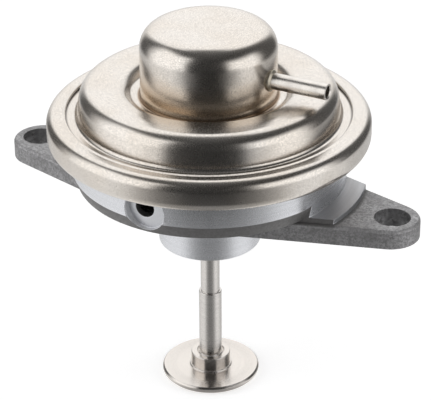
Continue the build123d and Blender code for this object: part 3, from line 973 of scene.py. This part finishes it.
# What the metal mirrors, as rising pairs of a place and a level. A bearing is in degrees to one
# side of the camera's, a height in degrees over the floor, and a reach in millimetres from the
# stem. A side panel has its levels by bearing and then by height.
LEFT_PANEL = ((34, 0), (42, 1), (98, 1), (122, 0)), ((48, 1), (60, 0))
RIGHT_PANEL = ((27, 0), (38, 1), (82, 1), (100, 0)), ((28, 1), (46, 0))
BACK_EDGE, BACK_FOOT, BACK_LEAN = 152, 10, 0.45  # bearing of its edge, which leans over its foot
BACK_START, BACK_FULL = -10, 2  # bearings past its edge where it begins and is at its full level
BACK_HEIGHTS = (0, 0.65), (22, 0.95), (66, 1), (76, 0)
CLOTH_START, CLOTH_FULL = 60, 130  # the cloth goes over to the far corners' level between these
CEILING_HEIGHTS = (50, 0), (80, 1)
TABLE_REACHES = (
    (0, 0.6),
    (7, 0.5),
    (20, 0.22),
    (75, 0.28),
    (105, 0.24),
    (118, 0.2),
    (132, 0.13),
    (162, 0.08),
    (174, 0.02),
)
TABLE_BESIDE = (14, 0), (30, 0.16), (42, 0.42), (54, 0.84), (68, 1), (90, 0.95)
TABLE_BEHIND = (150, 0.62), (180, 0.85)
TABLE_CORNER = 108  # bearing of the table's far corners
TABLE_FAR_REACHES = (200, 0), (450, 1)
# A side of the table: the level in its far corner, and its far part's levels by bearing.
LEFT_TABLE = 0.9, ((38, 1), (47, 0.7), (57, 1))
RIGHT_TABLE = 0.62, ((30, 0.7), (38, 0.5), (46, 0.62), (60, 1))


def camera_turn(stage):
    """Rotation that carries -Y, the side without turning, round to the camera's side."""
    return Matrix.Rotation(stage.camera_azimuth, 3, "Z")


def direction(azimuth, elevation):
    """Unit vector for a bearing from -Y towards +X and a height above the horizon, in radians."""
    level = math.cos(elevation)
    return Vector((math.sin(azimuth) * level, -math.cos(azimuth) * level, math.sin(elevation)))


def make_camera(stage):
    """Aims a long lens at the valve from above its port's right."""
    data = bpy.data.cameras.new("Camera")
    data.lens = stage.camera_lens
    data.sensor_width = SENSOR_WIDTH
    data.clip_start = 0.01
    data.clip_end = 20
    camera = new_object("Camera", data)
    turn = camera_turn(stage)
    aim = turn @ Vector((stage.aim_aside, 0, stage.aim_height))
    back = turn @ direction(0, stage.camera_elevation)
    camera.location = aim + back * stage.camera_distance
    look = (-back).to_track_quat("-Z", "Y").to_matrix()
    look = look @ Matrix.Rotation(stage.camera_roll, 3, "Z")
    camera.rotation_euler = look.to_euler()
    bpy.context.scene.camera = camera


def seen_directly(tree):
    """Returns 1 for rays from the camera and for mirror and glass rays."""
    path = add_node(tree, "ShaderNodeLightPath").outputs
    direct = math_node(tree, "MAXIMUM", path["Is Camera Ray"], path["Is Glossy Ray"])
    return math_node(tree, "MAXIMUM", direct, path["Is Transmission Ray"])


def make_world():
    """White all round to the eye, and a softer level for plain surfaces."""
    world = bpy.data.worlds.new("Studio")
    world.use_nodes = True
    tree = world.node_tree
    background = tree.nodes["Background"]
    background.inputs["Color"].default_value = (1, 1, 1, 1)
    level = spread(tree, seen_directly(tree), WORLD_LEVEL, 1.0)
    tree.links.new(level, background.inputs["Strength"])
    bpy.context.scene.world = world


def make_floor(stage):
    """Pale floor under the valve plate, lifted to white where nothing shades it."""
    bm = bmesh.new()
    bmesh.ops.create_circle(bm, cap_ends=True, segments=96, radius=stage.floor_size)
    mesh = mesh_from(bm, "Floor")
    mesh.transform(Matrix.Translation((0, 0, CAD_BOX[0].z)))
    floor = new_object("Floor", mesh)
    tree, shader = new_material("Pale floor")
    values = {
        "Base Color": FLOOR_TONE,
        "Roughness": 0.9,
        "Specular IOR Level": 0.0,
        "Emission Color": (1, 1, 1, 1),
    }
    for label, value in values.items():
        shader.inputs[label].default_value = value
    glow = product(tree, seen_directly(tree), FLOOR_GLOW)
    tree.links.new(glow, shader.inputs["Emission Strength"])
    mesh.materials.append(bpy.data.materials["Pale floor"])


def softbox(stage, name, azimuth, elevation, width, height, radiance):
    """Rectangular light aimed at the valve, placed by its bearing from the camera's side."""
    data = bpy.data.lights.new(name, "AREA")
    data.shape = "RECTANGLE"
    data.size = width
    data.size_y = height
    data.energy = radiance * math.pi * width * height
    lamp = new_object(name, data)
    away = camera_turn(stage) @ direction(math.radians(azimuth), math.radians(elevation))
    lamp.location = away * stage.light_distance
    lamp.visible_glossy = False
    lamp.rotation_euler = away.to_track_quat("Z", "Y").to_euler()


def level_at(stops, value):
    """Reads a level from rising pairs of a place and a level, with straight lines between."""
    for (low, before), (high, after) in zip(stops, stops[1:]):
        if value <= high:
            share = max(0.0, (value - low) / (high - low))
            return before + (after - before) * share
    return stops[-1][1]


def card(stage, name, point_of, level_of):
    """Glowing card round the valve that only shiny surfaces see.

    It is a grid of points by their bearing from the camera's side and their step along it.
    """
    bm = bmesh.new()
    grid, levels = [], []
    for row in range(CARD_ROWS + 1):
        step = row / CARD_ROWS
        ring = []
        for column in range(CARD_COLUMNS):
            ring.append(bm.verts.new(point_of(2 * math.pi * column / CARD_COLUMNS, step)))
            levels.append(level_of((360 * column / CARD_COLUMNS + 180) % 360 - 180, step))
        grid.append(ring)
    for low, high in zip(grid, grid[1:]):
        for column in range(CARD_COLUMNS):
            after = (column + 1) % CARD_COLUMNS
            bm.faces.new((low[column], low[after], high[after], high[column]))
    mesh = mesh_from(bm, name)
    mesh.transform(camera_turn(stage).to_4x4())
    glow = mesh.attributes.new("glow", "FLOAT", "POINT")
    glow.data.foreach_set("value", levels)
    obj = new_object(name, mesh)
    material = bpy.data.materials.new(name)
    material.use_nodes = True
    tree = material.node_tree
    tree.nodes.clear()
    level = add_node(tree, "ShaderNodeAttribute", attribute_name="glow").outputs["Fac"]
    shine = output_of(tree, "ShaderNodeEmission", {"Strength": level})
    add_node(tree, "ShaderNodeOutputMaterial", {"Surface": shine})
    mesh.materials.append(material)
    obj.visible_camera = False
    obj.visible_diffuse = False
    obj.visible_shadow = False


def dome_level(stage, bearing, height):
    """Level of the studio's walls: side panels, a tilted panel behind, and dull cloth between."""
    across = abs(bearing)
    bearings, heights = LEFT_PANEL if bearing < 0 else RIGHT_PANEL
    side = level_at(bearings, across) * level_at(heights, height)
    edge = BACK_EDGE - BACK_LEAN * max(0, height - BACK_FOOT)
    back = level_at(((edge + BACK_START, 0), (edge + BACK_FULL, 1)), across)
    back *= level_at(BACK_HEIGHTS, height)
    corners = (CLOTH_START, stage.front_level), (CLOTH_FULL, stage.post_level)
    cloth = level_at(corners, across)
    cloth += stage.overhead_level * level_at(CEILING_HEIGHTS, height)
    return max(cloth, side * stage.side_level, back * stage.back_level)


def table_level(stage, bearing, reach):
    """Level of the table, which darkens away from the valve on the camera's side."""
    across = abs(bearing)
    corner, bearings = LEFT_TABLE if bearing < 0 else RIGHT_TABLE
    front = level_at(TABLE_REACHES, reach)
    beside = level_at((*TABLE_BESIDE, (TABLE_CORNER, corner), *TABLE_BEHIND), across)
    near = front + (stage.table_side_level - front) * beside
    far = dome_level(stage, bearing, 0) * level_at(bearings, across)
    share = level_at(TABLE_FAR_REACHES, reach)
    return near * (1 - share) + far * share


def make_cards(stage):
    """Walls, ceiling and table for the metal to mirror."""
    floor_z = CAD_BOX[0].z

    def dome(bearing, step):
        point = direction(bearing, math.pi / 2 * step) * stage.dome_radius
        point.z += floor_z
        return point

    def table(bearing, step):
        point = direction(bearing, 0) * stage.dome_radius * step**2
        point.z = floor_z + stage.card_gap
        return point

    card(stage, "Walls card", dome, lambda bearing, step: dome_level(stage, bearing, 90 * step))
    card(
        stage,
        "Table card",
        table,
        lambda bearing, step: table_level(stage, bearing, stage.dome_radius * step**2 / MM),
    )


# ---------------------------------------------------------------- operators
class VALVE_OT_finishes(bpy.types.Operator):
    """Mixes the finishes and gives every CAD piece its own"""

    bl_idname = "valve.finishes"
    bl_label = "Finishes"

    def execute(self, context):
        look = context.scene.valve_finish
        mm = in_millimetres(context.scene.valve_shape)
        groups = {
            "satin": satin_group(),
            "lathe": lathe_group(),
            "drawn": drawn_group(),
            "cast": cast_group(),
        }
        flange_top = span("upper_cover")[1] + mm.cover_sheet
        satin_nickel(groups, look, "Satin nickel ring")
        satin_nickel(
            groups,
            look,
            "Satin nickel cover with painted shade and reflection",
            streaks=0.004,
            cup=mm.cup_radius,
            lip=span("crimp_ring")[0] - mm.ring_lip,
            foot=flange_top + mm.plateau_height - mm.moat_depth,
        )
        cut, cut_rough = look.turned_color, look.turned_roughness
        along = {"turn": (0.0, math.radians(-90), 0.0)}
        port = {"turn": (math.radians(90), 0.0, 0.0), "middle": (0.0, 0.0, mm.port_height)}
        # The feed and the depth are in millimetres.
        for name, color, rough, feed, depth, others in (
            ("Nickelled tube", look.nickel_color, 0.28, 0.3, 0.004, along),
            ("Silver braze", look.braze_color, 0.42, 0.5, 0.02, {}),
            ("Turned aluminium", cut, cut_rough, 0.2, 0.002, {"metallic": 0.9}),
            ("Ledge aluminium", tinted(cut, 0.8), cut_rough + 0.16, 0.2, 0.003, {}),
            ("Port-wall aluminium", cut, 0.5, 0.4, 0.01, {"metallic": 0.3}),
            ("Spot-faced aluminium", cut, 0.38, 0.45, 0.014, port),
            (
                "Turned stainless",
                look.stainless_color,
                look.stainless_roughness,
                0.12,
                0.0008,
                {"anisotropic": 0.4},
            ),
            ("Faced stainless", look.plate_color, 0.22, 0.25, 0.0006, {"anisotropic": 0.9}),
            ("Zinc plate", look.zinc_color, 0.36, 0.4, 0.005, {}),
            ("Spring wire", look.spring_color, 0.38, 0.5, 0.006, {}),
            ("Sintered bronze", look.bronze_color, 0.48, 0.4, 0.015, {}),
        ):
            turned_metal(groups, name, color, rough, feed, depth, **others)
        # The level scales a skin's colours: under 1 it paints shade into the bolt holes, the port's
        # bore and onto the ears' walls, and over 1 it paints light onto the disc's wall. Coarse
        # scales its lumps.
        for name, level, coarse in (
            ("Cast aluminium skin with painted ledge shade", 1.0, 1.0),
            ("Bolt-hole skin with painted shade", 0.48, 2.2),
            ("Ear-wall skin with painted shade", 0.74, 1.0),
            ("Disc-wall skin with painted light", 1.6, 1.0),
        ):
            cast_aluminium(groups, look, name, level, (mm.ledge_radius, mm.ear_top), coarse)
        plain_rubber(groups, "Black rubber", look.rubber_color)
        plain_rubber(groups, "Seal rubber", look.seal_color)
        by_slot = {
            "nickel_steel": "Satin nickel ring",
            "cast_aluminium": "Cast aluminium skin with painted ledge shade",
            "stainless": "Turned stainless",
            "braze": "Silver braze",
            "zinc_steel": "Zinc plate",
            "spring_steel": "Spring wire",
            "bronze": "Sintered bronze",
            "black_rubber": "Black rubber",
            "seal_rubber": "Seal rubber",
        }
        for row in frame["record"]["subparts"]:
            node = NODES[row["node"]]
            node.data.materials.clear()
            node.data.materials.append(bpy.data.materials[by_slot[row["material_slot"]]])
        return {"FINISHED"}


class VALVE_OT_shape_nodes(bpy.types.Operator):
    """Builds the Geometry Nodes trees for turned and wound pieces"""

    bl_idname = "valve.shape_nodes"
    bl_label = "Shape nodes"

    def execute(self, context):
        turned_tree()
        coil_tree()
        return {"FINISHED"}


class VALVE_OT_casting(bpy.types.Operator):
    """Makes the body casting with its cast, turned and spot-faced surfaces"""

    bl_idname = "valve.casting"
    bl_label = "Casting"

    def execute(self, context):
        shape = context.scene.valve_shape
        piece = new_object("casting", casting_mesh(shape))
        for name in CASTING_FINISHES:
            piece.data.materials.append(bpy.data.materials[name])
        edge = piece.modifiers.new("Edges", "BEVEL")
        edge.width = shape.cast_edge
        edge.segments = 2
        edge.limit_method = "ANGLE"
        edge.angle_limit = math.radians(35)
        edge.use_clamp_overlap = False
        bake(piece)
        settle_normals(piece)
        stands_for(piece, "housing", "cast_aluminium", "valve_body")
        return {"FINISHED"}


class VALVE_OT_pressings(bpy.types.Operator):
    """Presses the cover with its cup, and the ring that is crimped round it"""

    bl_idname = "valve.pressings"
    bl_label = "Cover and crimp ring"

    def execute(self, context):
        shape = context.scene.valve_shape
        mm = in_millimetres(shape)
        flange_radius, flange_bottom, cup_top = span("upper_cover")
        flange_top = flange_bottom + mm.cover_sheet
        plateau = flange_top + mm.plateau_height
        plateau_edge = plateau - mm.crown_fall
        moat_floor = plateau - mm.moat_depth
        moat_radius = mm.cup_radius + mm.moat_width
        line = [
            (0, cup_top, 0),
            (mm.cup_radius, cup_top, mm.cup_edge),
            (mm.cup_radius, moat_floor, mm.foot_bend),
            (moat_radius, moat_floor, mm.moat_bend),
            (moat_radius + mm.moat_lean, plateau_edge, mm.plateau_bend),
            (mm.crown_radius, plateau, mm.crown_bend),
            (mm.skirt_radius - mm.skirt_lean, plateau_edge, mm.shoulder_bend),
            (mm.skirt_radius, flange_top, mm.skirt_bend),
            (flange_radius, flange_top, 0),
        ]
        section = sheet_section(line, mm.cover_sheet, mm.cut_edge)
        cover = turned("pressed_cover", section, "Satin nickel cover with painted shade and reflection", shape)
        stands_for(cover, "housing", "nickel_steel", "upper_cover")
        ring_radius, ring_bottom, ring_top = span("crimp_ring")
        ring_flat = ring_top - mm.lip_rise
        lip_radius = ring_radius - mm.ring_lip
        bead_bend = 0.5
        body_gap = 0.3
        line = [
            (lip_radius, ring_top, 0),
            (lip_radius + 0.3 * mm.lip_bead, ring_top, CRISP),
            (lip_radius + 1.3 * mm.lip_bead, ring_flat, bead_bend),
            (ring_radius, ring_flat, mm.ring_upper_bend),
            (ring_radius, ring_bottom, mm.ring_lower_bend),
            (mm.body_radius + body_gap, ring_bottom, 0),
        ]
        section = sheet_section(line, mm.ring_sheet, mm.lip_edge)
        ring = turned("rolled_ring", section, "Satin nickel ring", shape)
        stands_for(ring, "housing", "nickel_steel", "crimp_ring")
        return {"FINISHED"}


class VALVE_OT_nipple(bpy.types.Operator):
    """Makes the hose tube and the braze that holds it in the cup"""

    bl_idname = "valve.nipple"
    bl_label = "Vacuum nipple"

    def execute(self, context):
        shape = context.scene.valve_shape
        mm = in_millimetres(shape)
        low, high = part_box("vacuum_nipple")
        start, end = low.x / MM, high.x / MM
        place = {
            "turn": (0.0, math.radians(90), 0.0),
            "move": (0, 0, (low.z + high.z) / 2),
        }
        shoulder = mm.cup_radius + mm.braze_width
        radius, bore, spigot = mm.nipple_radius, mm.nipple_bore, mm.nipple_spigot
        section = [
            (bore, start, mm.broken_edge),
            (bore, end - mm.nipple_mouth, SHARP),
            (bore + mm.nipple_mouth, end, SHARP),
            (radius, end, mm.broken_edge),
            (radius, shoulder, 0.0),
            (spigot, shoulder, 0.0),
            (spigot, start, mm.broken_edge),
        ]
        tube = turned("hose_tube", section, "Nickelled tube", shape, **place)
        stands_for(tube, "housing", "nickel_steel", "vacuum_nipple")
        inner = mm.cup_radius - mm.cover_sheet / 2
        collar = radius + mm.braze_width
        collar_height, collar_bend = 0.35, 0.3
        toe_height, toe_length = 0.1, 0.12
        section = [
            (spigot, inner, 0.0),
            (collar, inner, 0.0),
            (collar, mm.cup_radius + collar_height, collar_bend),
            (radius + toe_height, shoulder + toe_length, CRISP),
            (spigot, shoulder, 0.0),
        ]
        braze = turned("braze_collar", section, "Silver braze", shape, **place)
        stands_for(braze, "housing", "braze", "nipple_braze_ring")
        return {"FINISHED"}


class VALVE_OT_stem(bpy.types.Operator):
    """Turns the stem and the valve plate that is riveted to it"""

    bl_idname = "valve.stem"
    bl_label = "Stem and valve plate"

    def execute(self, context):
        shape = context.scene.valve_shape
        mm = in_millimetres(shape)
        thread, lower, upper = mm.stem_thread_radius, mm.stem_lower_radius, mm.stem_radius
        edge = mm.broken_edge
        stem_top = span("valve_stem")[2]
        plate_radius, bottom, hub_top = span("valve_plate")
        plate_top = bottom + mm.plate_thickness
        soft_bend, top_bend = 0.25, 0.4
        section = [
            (0, bottom, 0),
            (mm.rivet_radius, bottom, edge),
            (thread, bottom + mm.rivet_depth, edge),
            (thread, hub_top, SHARP),
            (lower, hub_top, edge),
            (lower, mm.stem_step, soft_bend),
            (upper, mm.stem_step, CRISP),
            (upper, mm.stem_shoulder, edge),
            (thread, mm.stem_shoulder, SHARP),
            (thread, stem_top, top_bend),
            (0, stem_top, 0),
        ]
        stem = turned("turned_stem", section, "Turned stainless", shape)
        stands_for(stem, "valve", "stainless", "valve_stem")
        hub, bead, groove = mm.hub_radius, mm.weld_bead, mm.stem_groove
        gap = 0.05
        rim_bend, face_bend, foot_bend = 0.15, 0.2, 0.08
        section = [
            (mm.rivet_radius + gap, bottom, edge),
            (plate_radius - mm.seat_bevel, bottom, edge),
            (plate_radius, bottom + mm.seat_bevel, edge),
            (plate_radius, plate_top - mm.plate_edge, rim_bend),
            (plate_radius - mm.plate_edge, plate_top, face_bend),
            (hub + bead, plate_top, CRISP),
            (hub + bead, plate_top + bead, soft_bend),
            (hub, plate_top + bead, foot_bend),
            (hub, hub_top, soft_bend),
            (lower + 2 * groove, hub_top, edge),
            (lower + groove, hub_top - groove, SHARP),
            (lower, hub_top, 0.0),
            (thread + gap, hub_top, SHARP),
            (thread + gap, bottom + mm.rivet_depth, edge),
        ]
        plate = turned("faced_plate", section, "Faced stainless", shape)
        stands_for(plate, "valve", "stainless", "valve_plate")
        return {"FINISHED"}


class VALVE_OT_spring(bpy.types.Operator):
    """Winds the return spring"""

    bl_idname = "valve.spring"
    bl_label = "Return spring"

    def execute(self, context):
        shape = context.scene.valve_shape
        low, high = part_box("return_spring")
        spring = grow(
            "wound_spring",
            bpy.data.meshes.new("wound_spring"),
            "Ground Coil",
            coils=shape.coils,
            steps_per_coil=48,
            mean_radius=shape.coil_radius,
            wire_radius=shape.wire_radius,
            wire_sides=16,
            bottom=low.z,
            top=high.z,
            finish=bpy.data.materials["Spring wire"],
        )
        stands_for(spring, "housing", "spring_steel", "return_spring")
        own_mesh(spring)
        return {"FINISHED"}


class VALVE_OT_diaphragm(bpy.types.Operator):
    """Moulds the diaphragm as a clamped roll and a web round the stem"""

    bl_idname = "valve.diaphragm"
    bl_label = "Diaphragm"

    def execute(self, context):
        shape = context.scene.valve_shape
        mm = in_millimetres(shape)
        sheet, bend, edge = mm.rubber_thickness, mm.rubber_bend, mm.cut_edge
        foot_bend = 0.4
        outer, _, top = span("diaphragm")
        clamp = span("upper_cover")[1] - sheet
        crest = top - sheet
        bead_in = mm.bead_middle - mm.bead_radius
        bead_out = mm.bead_middle + mm.bead_radius
        bead_foot = clamp - mm.bead_radius
        bead_bend = 0.9 * mm.bead_radius
        leg_in, leg_out = mm.web_radius, mm.roll_radius
        split = (leg_in + leg_out) / 2
        section = [
            (outer, clamp, edge),
            (bead_out, clamp, 0.0),
            (bead_out, bead_foot, bead_bend),
            (bead_in, bead_foot, bead_bend),
            (bead_in, clamp, 0.0),
            (leg_out, clamp, bend + foot_bend),
            (leg_out, crest, bend),
            (split, crest, 0.0),
            (split, top, 0.0),
            (leg_out + sheet, top, bend + sheet),
            (leg_out + sheet, clamp + sheet, foot_bend),
            (outer, clamp + sheet, edge),
        ]
        roll = turned("diaphragm_roll", section, "Black rubber", shape)
        stands_for(roll, "housing", "black_rubber", "diaphragm")
        web_low = span("lower_diaphragm_plate")[2]
        web_high = web_low + sheet
        section = [
            (mm.web_hole, web_low, edge),
            (leg_in, web_low, bend + foot_bend),
            (leg_in, crest, bend),
            (split, crest, 0.0),
            (split, top, 0.0),
            (leg_in - sheet, top, bend + sheet),
            (leg_in - sheet, web_high, foot_bend),
            (mm.web_hole, web_high, edge),
        ]
        web = turned("diaphragm_web", section, "Black rubber", shape)
        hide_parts("diaphragm")
        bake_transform(web)
        return {"FINISHED"}


class VALVE_OT_stage(bpy.types.Operator):
    """Makes the floor, the lights and the camera"""

    bl_idname = "valve.stage"
    bl_label = "Stage"

    def execute(self, context):
        stage = context.scene.valve_stage
        context.scene.view_settings.view_transform = "Standard"
        make_camera(stage)
        make_world()
        make_floor(stage)
        make_cards(stage)
        for box in SOFTBOXES:
            softbox(stage, *box)
        return {"FINISHED"}


class VALVE_PT_sidebar(bpy.types.Panel):
    """Lists the valve's settings and steps"""

    bl_idname = "VALVE_PT_sidebar"
    bl_label = "Valve"
    bl_space_type = "VIEW_3D"
    bl_region_type = "UI"
    bl_category = "Valve"

    def draw(self, context):
        for pointer, settings in SETTINGS.items():
            box = self.layout.box()
            for name in settings.__annotations__:
                box.prop(getattr(context.scene, pointer), name)
        for operator in OPERATORS:
            self.layout.operator(operator.bl_idname)


SETTINGS = {
    "valve_shape": ValveShapeSettings,
    "valve_finish": ValveFinishSettings,
    "valve_stage": ValveStageSettings,
}
OPERATORS = (
    VALVE_OT_finishes,
    VALVE_OT_shape_nodes,
    VALVE_OT_casting,
    VALVE_OT_pressings,
    VALVE_OT_nipple,
    VALVE_OT_stem,
    VALVE_OT_spring,
    VALVE_OT_diaphragm,
    VALVE_OT_stage,
)
CLASSES = (*SETTINGS.values(), *OPERATORS, VALVE_PT_sidebar)


def register():
    for cls in CLASSES:
        bpy.utils.register_class(cls)
    for pointer, settings in SETTINGS.items():
        setattr(bpy.types.Scene, pointer, bpy.props.PointerProperty(type=settings))


def unregister():
    for pointer in SETTINGS:
        delattr(bpy.types.Scene, pointer)
    for cls in reversed(CLASSES):
        bpy.utils.unregister_class(cls)


def main():
    """Registers the add-on and makes everything."""
    register()
    bpy.ops.valve.finishes()
    bpy.ops.valve.shape_nodes()
    bpy.ops.valve.casting()
    bpy.ops.valve.pressings()
    bpy.ops.valve.nipple()
    bpy.ops.valve.stem()
    bpy.ops.valve.spring()
    bpy.ops.valve.diaphragm()
    bpy.ops.valve.stage()


if __name__ == "__main__":
    main()
